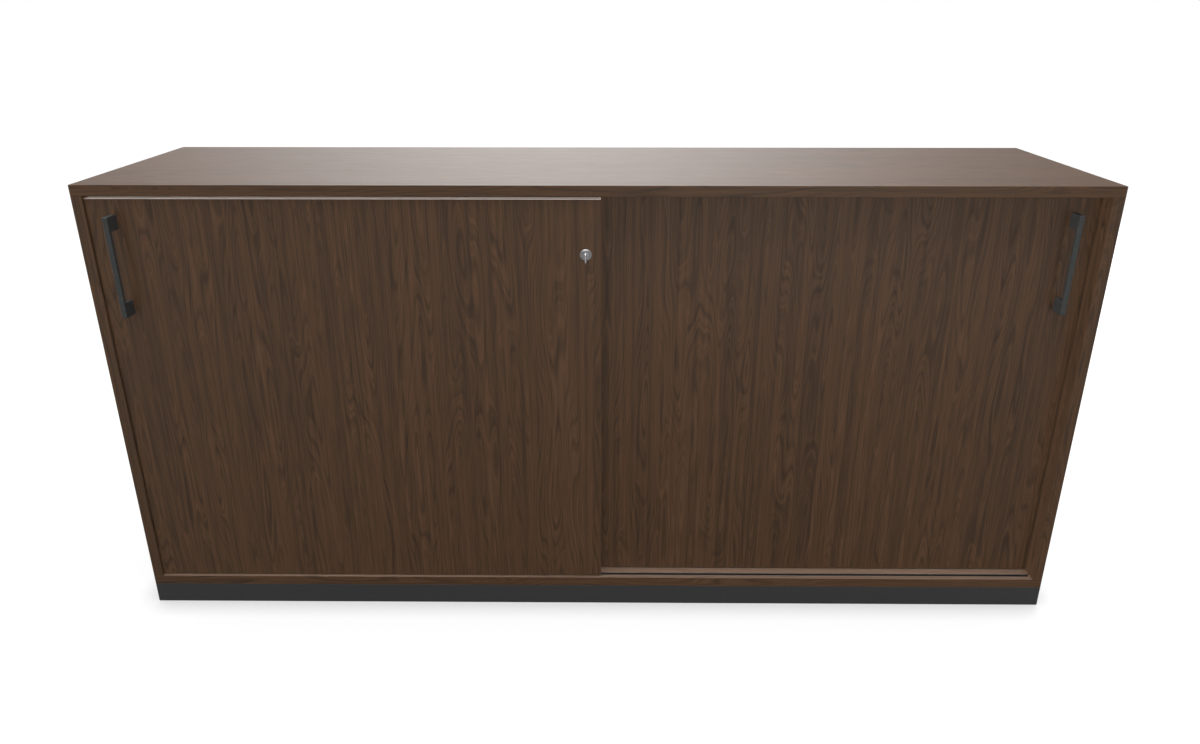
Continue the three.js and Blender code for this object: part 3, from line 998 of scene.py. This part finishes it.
@dataclass
class Tracks:
    """The U-shaped profiles in the grooves: tracks for the wheels below, rails for the guides above."""

    palette: Palette
    wall: float = 1.0
    lip: float = 0.25

    def build(self) -> None:
        """Builds the two tracks and the two rails."""
        for plane in Plane:
            self.profile(f"bottom_track_{plane.value}", Mouth.ABOVE)
            self.profile(f"top_rail_{plane.value}", Mouth.BELOW)

    def profile(self, node: str, mouth: Mouth) -> None:
        """One extruded profile.

        Args:
            node: Track or rail that it stands for.
            mouth: Side on which the profile is open.
        """
        low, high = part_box(node)
        wall, lip = self.wall * MM, self.lip * MM
        base, rim = (low.z, high.z) if mouth is Mouth.ABOVE else (high.z, low.z)
        floor = base + mouth.value * wall
        edge = rim - mouth.value * lip
        outline = [(low.y, base), (high.y, base), (high.y, edge), (high.y - lip, rim)]
        outline += [(high.y - wall + lip, rim), (high.y - wall, edge), (high.y - wall, floor)]
        outline += [(low.y + wall, floor), (low.y + wall, edge), (low.y + wall - lip, rim)]
        outline += [(low.y + lip, rim), (low.y, edge)]
        fit(node, "profile", plated(outline, Axis.X, low.x, high.x), self.palette.track)


@dataclass
class Door:
    """A sliding door with its handle, rollers, guides and screws."""

    palette: Palette
    side: Side
    # Thickness and edge radius of the pale strip on the door's top edge, a painted highlight.
    band: float = 1.0
    band_radius: float = 0.4
    pocket_play: float = 0.3
    screw_hole_radius: float = 2.4
    lock_hole_radius: float = 9.3
    handle_leg: float = 26.0
    handle_bar: float = 6.0
    handle_shoulder: float = 5.0
    handle_corner: float = 1.5
    handle_rim: float = 0.7
    screw_head: Profile = ((0.0, 0.0), (2.6, 0.0), (3.7, 0.6), (4.2, 1.5), (4.2, 2.4), (2.0, 2.4))
    screw_tip: Profile = ((2.0, 0.6), (1.4, 0.0), (0.0, 0.0))
    cross_arm: float = 2.2
    cross_half: float = 0.45
    cross_depth: float = 1.2
    axle_stub: Profile = ((0.0, 0.0), (1.7, 0.0), (2.0, 0.3))
    wheel_face: Profile = ((2.0, 2.7), (5.0, 2.7), (5.0, 1.6), (10.0, 1.6), (10.6, 2.2))
    wheel_tread: Profile = ((12.1, 2.2), (12.75, 1.6))
    wheel_radius: float = 13.0
    guide_line: float = 3.2
    tongue_long: float = 24.0
    tongue_wide: float = 4.38
    tongue_root: float = 3.0
    fitting_radius: float = 0.6

    @property
    def node(self) -> str:
        """The door's own node."""
        return f"{self.side.word}_door"

    @property
    def screws(self) -> list[str]:
        """The nodes of the handle's screws."""
        return [f"{self.side.word}_handle_screw_{height.value}" for height in Height]

    def build(self) -> None:
        """Builds the door and everything that is fixed to it."""
        self.slab()
        self.top_band()
        self.handle()
        for screw in self.screws:
            self.screw(screw)
        for place in Place:
            self.housing(f"{self.node}_roller_housing_{place.value}")
            self.wheel(f"{self.node}_wheel_{place.value}")
            self.guide(f"{self.node}_top_guide_{place.value}")

    def slab(self) -> None:
        """The laminated door with its roller pockets, screw holes and lock hole."""
        low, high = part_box(self.node)
        cutters = []
        play = Vector((self.pocket_play, self.pocket_play, 0.0)) * MM
        for place in Place:
            shell_low, shell_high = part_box(f"{self.node}_roller_housing_{place.value}")
            start = shell_low - play - Vector((0.0, 0.0, OVERRUN))
            cutters.append(rounded_box(start, shell_high + play))
        holes = [(screw, self.screw_hole_radius) for screw in self.screws]
        if self.side is Side.LEFT:
            holes.append(("lock_plug", self.lock_hole_radius))
        for node, radius in holes:
            cutters.append(drill(middle(node), Axis.Y, radius, low.y, high.y))
        Board(self.node, Axis.Y, Axis.Z, self.palette.walnut, cutters=cutters).build()

    def top_band(self) -> None:
        """A pale strip on the door's top edge, which shows as a fine bright line: a painted highlight
        on the walnut edge.
        """
        low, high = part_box(self.node)
        start = Vector((low.x, low.y, high.z))
        stop = Vector((high.x, high.y, high.z + self.band * MM))
        made = rounded_box(start, stop, self.band_radius * MM)
        coating = self.palette.band
        band = make_object(f"{self.node}_top_band", [made], coating.materials)
        settle(band, self.node, stands_in=False)

    def handle(self) -> None:
        """The bow handle: a flat bar on two legs, with rounded shoulders against the door."""
        node = f"{self.side.word}_handle"
        low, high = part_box(node)
        leg, bow = self.handle_leg * MM, low.y + self.handle_bar * MM
        shoulder, corner = self.handle_shoulder * MM, self.handle_corner * MM
        outline = arc((low.y + corner, low.z + corner), corner, 180, 270)
        outline.append((high.y, low.z))
        outline += arc((high.y - shoulder, low.z + leg - shoulder), shoulder, 0, 90)
        outline += [(bow, low.z + leg), (bow, high.z - leg), (high.y, high.z - leg)]
        outline += arc((high.y - shoulder, high.z - shoulder), shoulder, 0, 90)
        outline += arc((low.y + corner, high.z - corner), corner, 90, 180)
        made = plated(outline, Axis.X, low.x, high.x, self.handle_rim)
        fit(node, "bow", made, self.palette.handle)

    def screw(self, node: str) -> None:
        """A pan-head screw through the door into the handle, with a cross in its head.

        Args:
            node: Screw that it stands for.
        """
        start, length = shaft(node, Axis.Y, high_end=True)
        profile = lathe(self.screw_head, self.screw_tip, length, -1)
        front, back = start.y - self.cross_depth * MM, start.y + OVERRUN
        arms = ((self.cross_arm, self.cross_half), (self.cross_half, self.cross_arm))
        cross = [(Cut.TAKE_AWAY, bar(start, wide, high, front, back)) for wide, high in arms]
        fit(node, "pan_head", turned(profile, start, Axis.Y, HOLE_STEPS), self.palette.zinc, cross)

    def housing(self, node: str) -> None:
        """Dresses a roller housing, whose solid is right as it is.

        Args:
            node: Housing that is dressed.
        """
        shell = frame["nodes"][node]
        shell.data.materials.clear()
        shell.data.materials.append(self.palette.track.materials[0])
        LOG.info("%s: dressed solid, on %s", node, body_of(node))

    def wheel(self, node: str) -> None:
        """A moulded wheel with a rounded tread, a hub and axle stubs.

        Args:
            node: Wheel that it stands for.
        """
        half = shaft(node, Axis.Y)[1] / 2
        side = [(radius, half - back) for radius, back in self.axle_stub]
        side += [*self.wheel_face, *self.wheel_tread]
        mirrored = [(radius, -station) for radius, station in reversed(side)]
        profile = [*side, (self.wheel_radius, 0.0), *mirrored]
        fit(node, "moulded", turned(profile, middle(node), Axis.Y), self.palette.nylon)

    def guide(self, node: str) -> None:
        """A guide plate on the back of the door with a tongue that runs in the top rail.

        Args:
            node: Guide that it stands for.
        """
        low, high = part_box(node)
        door_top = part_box(self.node)[1].z
        radius = self.fitting_radius * MM
        plate = rounded_box(low, Vector((high.x, high.y, door_top)), radius)
        centre = middle(node).x
        line = low.y + self.guide_line * MM
        half_long, half_wide = self.tongue_long / 2 * MM, self.tongue_wide / 2 * MM
        start = Vector((centre - half_long, line - half_wide, door_top - self.tongue_root * MM))
        stop = Vector((centre + half_long, line + half_wide, high.z))
        tongue = rounded_box(start, stop, radius)
        fit(node, "moulded", plate, self.palette.track, [(Cut.ADD, tongue)])


@dataclass
class Lock:
    """The cylinder lock in the left door, its key and the strike on the right door."""

    palette: Palette
    bore_mouth: Profile = ((7.1, 0.6), (7.35, 0.15), (8.0, 0.0), (8.7, 0.2), (9.4, 0.65))
    collar: Profile = ((10.0, 1.3), (10.5, 2.1), (10.7, 2.7), (10.7, 3.2), (9.0, 3.2))
    barrel_end: Profile = ((9.0, 0.0), (7.1, 0.0))
    plug_face: Profile = ((0.0, 0.0), (6.3, 0.0), (6.8, 0.5))
    plug_end: Profile = ((6.8, 0.0), (0.0, 0.0))
    keyway_wide: float = 2.8
    keyway_high: float = 9.2
    keyway_deep: float = 18.7
    drive: float = 6.0
    drive_root: float = 2.0
    drive_play: float = 0.3
    cam_half_width: float = 8.0
    cam_corner: float = 2.0
    nut_radius: float = 12.0
    nut_bore: float = 9.3
    screw_head: Profile = ((0.0, 0.0), (2.6, 0.0), (3.6, 0.6), (4.0, 1.4), (4.0, 2.0), (2.0, 2.0))
    screw_tip: Profile = ((2.0, 0.5), (1.5, 0.0), (0.0, 0.0))
    slit_half: Pair = (2.4, 0.4)
    slit_depth: float = 0.9
    bow_long: float = 19.0
    bow_corner: float = 6.0
    bow_fillet: float = 2.0
    bow_ring: float = 2.6
    neck: float = 6.0
    blade: float = 8.4
    point: Pair = (0.4, 0.6)
    bits: tuple[float, ...] = (1.2, 2.0, 0.9, 1.6)
    bit_pitch: float = 3.0
    bit_start: float = 0.7
    bit_half: float = 0.5
    bit_ramp: float = 0.9
    key_rim: float = 0.35
    metal_rim: float = 0.4
    strike_corner: float = 2.0
    strike_rim: float = 0.6

    def build(self) -> None:
        """Builds the lock, its key and the strike."""
        self.housing()
        self.nut()
        self.plug()
        self.cam()
        self.cam_screw()
        self.key()
        self.strike()

    def housing(self) -> None:
        """The barrel with its domed collar against the door."""
        node = "lock_housing"
        start, length = shaft(node, Axis.Y)
        profile = lathe(self.bore_mouth + self.collar, self.barrel_end, length)
        fit(node, "turned", turned(profile, start, Axis.Y, ring=True), self.palette.nickel)

    def nut(self) -> None:
        """The thin hexagon nut behind the door."""
        node = "lock_nut"
        low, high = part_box(node)
        centre = middle(node)
        turns = [math.radians(90 + 60 * step) for step in range(6)]
        radius = self.nut_radius * MM
        outline = [(centre.z + radius * math.sin(a), centre.x + radius * math.cos(a)) for a in turns]
        made = plated(outline, Axis.Y, low.y, high.y, self.metal_rim)
        bore = drill(centre, Axis.Y, self.nut_bore, low.y, high.y)
        fit(node, "hexagon", made, self.palette.nickel, [(Cut.TAKE_AWAY, bore)])

    def plug(self) -> None:
        """The turning plug: a flat disc with a keyway in front, a square drive behind."""
        node = "lock_plug"
        start, length = shaft(node, Axis.Y)
        barrel_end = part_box("lock_housing")[1].y
        profile = lathe(self.plug_face, self.plug_end, (barrel_end - start.y) / MM)
        half = self.drive / 2
        root = barrel_end - self.drive_root * MM
        drive = bar(start, half, half, root, start.y + length * MM)
        front, back = start.y - OVERRUN, start.y + self.keyway_deep * MM
        keyway = bar(start, self.keyway_wide / 2, self.keyway_high / 2, front, back)
        tools = [(Cut.ADD, drive), (Cut.TAKE_AWAY, keyway)]
        fit(node, "turned", turned(profile, start, Axis.Y), self.palette.nickel, tools)

    def cam(self) -> None:
        """The flat cam on the square drive."""
        node = "lock_cam"
        low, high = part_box(node)
        centre = middle("lock_plug")
        radius, corner = self.cam_half_width * MM, self.cam_corner * MM
        outline = arc((centre.z, centre.x), radius, 0, 180)
        outline += arc((centre.z - radius + corner, low.x + corner), corner, 180, 270)
        outline += arc((centre.z + radius - corner, low.x + corner), corner, 270, 360)
        made = plated(outline, Axis.Y, low.y, high.y, self.metal_rim)
        half = self.drive / 2 + self.drive_play
        hole = bar(centre, half, half, low.y - OVERRUN, high.y + OVERRUN)
        fit(node, "plate", made, self.palette.nickel, [(Cut.TAKE_AWAY, hole)])

    def cam_screw(self) -> None:
        """The round-head screw that holds the cam."""
        node = "cam_screw"
        start, length = shaft(node, Axis.Y, high_end=True)
        profile = lathe(self.screw_head, self.screw_tip, length, -1)
        depth = self.slit_depth * MM
        slit = bar(start, *self.slit_half, start.y - depth, start.y + depth)
        made = turned(profile, start, Axis.Y, HOLE_STEPS)
        fit(node, "round_head", made, self.palette.zinc, [(Cut.TAKE_AWAY, slit)])

    def key(self) -> None:
        """The flat key: a rounded bow with a ring hole, and a blade with its bits cut in one edge."""
        node = "key"
        low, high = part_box(node)
        centre = middle(node)
        corner, fillet, blade = self.bow_corner * MM, self.bow_fillet * MM, self.blade / 2 * MM
        bow_back = low.y + self.bow_long * MM
        shoulder, tip = bow_back + self.neck * MM, high.y - blade
        lower, upper = centre.z - blade, centre.z + blade
        back, down = self.point
        outline = arc((low.y + corner, low.z + corner), corner, 180, 270)
        outline += arc((bow_back - fillet, low.z + fillet), fillet, 270, 340)
        outline += [(shoulder, lower), (tip, lower), (high.y - back * MM, centre.z - down * MM)]
        outline += [(high.y, centre.z), (tip, upper)]
        half, ramp = self.bit_half * MM, self.bit_ramp * MM
        for step, depth in enumerate(self.bits):
            notch, drop = tip - (step + self.bit_start) * self.bit_pitch * MM, depth * MM
            outline += [(notch + half + drop, upper), (notch + half, upper - drop)]
            outline.append((notch - half, upper - drop))
            outline.append((notch - half - min(drop, ramp), upper - max(0.0, drop - ramp)))
        outline.append((shoulder, upper))
        outline += arc((bow_back - fillet, high.z - fillet), fillet, 20, 90)
        outline += arc((low.y + corner, high.z - corner), corner, 90, 180)
        made = plated(outline, Axis.X, low.x, high.x, self.key_rim)
        ring = Vector((0.0, low.y + corner, centre.z))
        hole = drill(ring, Axis.X, self.bow_ring, low.x, high.x)
        fit(node, "blank", made, self.palette.key, [(Cut.TAKE_AWAY, hole)])

    def strike(self) -> None:
        """The small block on the right door that the lowered cam stands beside."""
        node = "strike"
        low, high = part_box(node)
        corner = self.strike_corner * MM
        outline = [(high.y, low.z), (high.y, high.z), (low.y + corner, high.z)]
        outline += [(low.y, high.z - corner), (low.y, low.z + corner), (low.y + corner, low.z)]
        made = plated(outline, Axis.X, low.x, high.x, self.strike_rim)
        fit(node, "block", made, self.palette.nickel)


def hang(light: bpy.types.Light, duty: Duty) -> bpy.types.Object:
    """Puts a light in the scene.

    Args:
        light: The light.
        duty: What the light does.

    Returns:
        The object that holds the light.
    """
    shadow, matt, gloss = duty.value
    light.use_shadow = shadow
    holder = bpy.data.objects.new(light.name, light)
    holder.visible_diffuse = matt
    holder.visible_glossy = gloss
    bpy.context.scene.collection.objects.link(holder)
    return holder


@dataclass(frozen=True)
class FarLamp:
    """A distant soft light: its strength, the width of its disc and its turn, in degrees."""

    name: str
    strength: float
    spread: float
    turn: Triple
    duty: Duty = Duty.FILL

    def build(self) -> None:
        """Hangs the lamp."""
        light = bpy.data.lights.new(self.name, "SUN")
        light.energy = self.strength
        light.angle = math.radians(self.spread)
        holder = hang(light, self.duty)
        holder.rotation_euler = [math.radians(turn) for turn in self.turn]


@dataclass(frozen=True)
class Softbox:
    """A rectangle of light: its power in watts, its size, its place and the point it faces."""

    name: str
    power: float
    size: Pair
    place: Triple
    target: Triple
    duty: Duty = Duty.FILL

    def build(self) -> None:
        """Hangs the softbox, out of sight of the camera."""
        light = bpy.data.lights.new(self.name, "AREA")
        light.energy = self.power
        light.shape = "RECTANGLE"
        light.size, light.size_y = self.size
        holder = hang(light, self.duty)
        holder.location = self.place
        way = Vector(self.target) - Vector(self.place)
        holder.rotation_euler = way.to_track_quat("-Z", "Y").to_euler()
        holder.visible_camera = False


@dataclass
class Studio:
    """A plain pale floor, soft light all round and the photograph's camera; sizes in metres.

    The fills light the fronts evenly, without shadows beside the handles and door edges. The sheen
    is only mirrored, and lays a soft veil on the right-hand front.
    """

    floor_side: float = 40.0
    ambient: float = 0.35
    mirrored: float = 0.13
    glow: float = 2.2
    glow_spread: float = 14.5
    glow_way: Pair = (3.8, 12.0)
    lamps: tuple[FarLamp | Softbox, ...] = (
        FarLamp("overhead_key", 5.45, 50.0, (4.0, 0.0, -20.0), Duty.KEY),
        FarLamp("side_kicker", 3.4, 22.0, (78.0, 0.0, -79.0)),
        FarLamp("front_key", 0.44, 6.0, (80.0, 0.0, 1.5)),
        FarLamp("right_fill", 0.8, 22.0, (78.0, 0.0, 80.0)),
        Softbox("front_fill", 39.5, (1.2, 0.6), (0.4, -3.4, 1.5), (0.4, -0.2, 0.75)),
        Softbox("back_fill", 190.0, (1.6, 0.6), (2.7, 3.2, 1.7), (0.3, 0.0, 0.5), Duty.WASH),
        Softbox("front_sheen", 5.2, (1.6, 0.8), (0.9, -2.5, 0.42), (0.9, -0.2, 0.42), Duty.SHEEN),
    )
    contact_shade: str = "#D1D1D1"
    contact_reach: float = 0.06
    contact_samples: int = 8
    contact_span: Pair = (0.5, 1.0)
    floor_glow: float = 0.7
    floor_mirrored: Pair = (0.0, 1.0)
    floor_mirrored_from: Pair = (0.5, 3.0)
    floor_seen: str = "#BCBCBC"
    floor_lit: str = "#303030"
    floor_roughness: float = 0.95
    camera_place: Triple = (0.0198, -1.7427, 1.1323)
    camera_turn: Triple = (67.905, 0.0, 0.467)
    lens: float = 26.95

    def build(self) -> None:
        """Builds the floor, the light and the camera."""
        self.floor()
        self.world()
        for lamp in self.lamps:
            lamp.build()
        self.camera()
        bpy.context.scene.view_settings.view_transform = "Standard"

    def floor(self) -> None:
        """A wide sheet of white paper that keeps the cabinet's soft shadow.

        Where it is seen, part of its light is the paper's own white, darker where something stands
        on it: a painted contact shadow. Where it is mirrored, that white also fades out towards the
        cabinet: painted shade, which the fronts mirror.
        """
        sheet = bmesh.new()
        bmesh.ops.create_grid(sheet, x_segments=1, y_segments=1, size=self.floor_side / 2)
        material, tree, shader = blank_material("white_studio_paper")
        feed(tree, shader, {"Roughness": self.floor_roughness, "Specular IOR Level": 0.0})
        # Near whatever stands on it, the paper's own white darkens: a painted contact shadow.
        reach = {"Distance": self.contact_reach}
        contact = add_node(tree, "AmbientOcclusion", reach, samples=self.contact_samples)
        stops = list(zip(self.contact_span, (linear(self.contact_shade), linear(WHITE))))
        shade = add_node(tree, "ValToRGB", {0: contact.outputs["AO"]}, stops=stops)
        white = add_node(tree, "Emission", {"Color": shade, "Strength": 1.0})
        ray = add_node(tree, "LightPath")
        seen, glossy = ray.outputs["Is Camera Ray"], ray.outputs["Is Glossy Ray"]
        tones = {0: seen, MIX_A: linear(self.floor_lit), MIX_B: linear(self.floor_seen)}
        colour = add_node(tree, "Mix", tones, data_type="RGBA")
        feed(tree, shader, {"Base Color": colour.outputs[MIX_RESULT]})
        # Seen in gloss, the paper's own white fades out towards the cabinet: painted shade.
        place = add_node(tree, "NewGeometry").outputs["Position"]
        away = add_node(tree, "VectorMath", {0: place}, operation="LENGTH").outputs["Value"]
        span = (away, *self.floor_mirrored_from, *self.floor_mirrored)
        bright = add_node(tree, "MapRange", dict(enumerate(span)))
        mirrored = add_node(tree, "Math", {0: glossy, 1: bright}, operation="MULTIPLY")
        share = add_node(
            tree, "Math", {0: seen, 1: self.floor_glow, 2: mirrored}, operation="MULTIPLY_ADD"
        )
        paper = add_node(tree, "MixShader", {0: share, 1: shader, 2: white})
        feed(tree, tree.nodes["Material Output"], {"Surface": paper})
        make_object("studio_floor", [sheet], [material])

    def world(self) -> None:
        """An even room that the camera sees as white, with a broad glow behind that gloss mirrors."""
        world = bpy.data.worlds.new("studio_room")
        world.use_nodes = True
        bpy.context.scene.world = world
        tree = world.node_tree
        tree.nodes.clear()
        turn, rise = (math.radians(angle) for angle in self.glow_way)
        toward = (-math.sin(turn) * math.cos(rise), math.cos(turn) * math.cos(rise), math.sin(rise))
        place = add_node(tree, "TexCoord").outputs["Generated"]
        facing = add_node(tree, "VectorMath", {0: place, 1: toward}, operation="DOT_PRODUCT")
        off = add_node(tree, "Math", {0: facing.outputs["Value"], 1: 1.0}, operation="SUBTRACT")
        sharpness = 1 / math.radians(self.glow_spread) ** 2
        steep = add_node(tree, "Math", {0: off, 1: sharpness}, operation="MULTIPLY")
        lobe = add_node(tree, "Math", {0: steep}, operation="EXPONENT")
        mirrored = add_node(
            tree, "Math", {0: lobe, 1: self.glow, 2: self.mirrored}, operation="MULTIPLY_ADD"
        )
        lit, gloss, plain = (
            add_node(tree, "Background", {"Color": linear(WHITE), "Strength": strength})
            for strength in (self.ambient, mirrored, 1.0)
        )
        ray = add_node(tree, "LightPath").outputs
        room = add_node(tree, "MixShader", {0: ray["Is Glossy Ray"], 1: lit, 2: gloss})
        seen = add_node(tree, "MixShader", {0: ray["Is Camera Ray"], 1: room, 2: plain})
        add_node(tree, "OutputWorld", {"Surface": seen})

    def camera(self) -> None:
        """The camera that was fitted to the photograph's straight edges."""
        lens = bpy.data.cameras.new("photograph")
        lens.lens = self.lens
        camera = bpy.data.objects.new("photograph", lens)
        camera.location = self.camera_place
        camera.rotation_euler = [math.radians(turn) for turn in self.camera_turn]
        bpy.context.scene.collection.objects.link(camera)
        bpy.context.scene.camera = camera


def main() -> None:
    """Builds the credenza's pieces in order, then the studio round them."""
    logging.basicConfig(level=logging.INFO, format="%(name)s %(message)s")
    palette = Palette()
    Carcass(palette).build()
    Plinth(palette).build()
    Tracks(palette).build()
    for side in Side:
        Door(palette, side).build()
    Lock(palette).build()
    Studio().build()


if __name__ == "__main__":
    main()
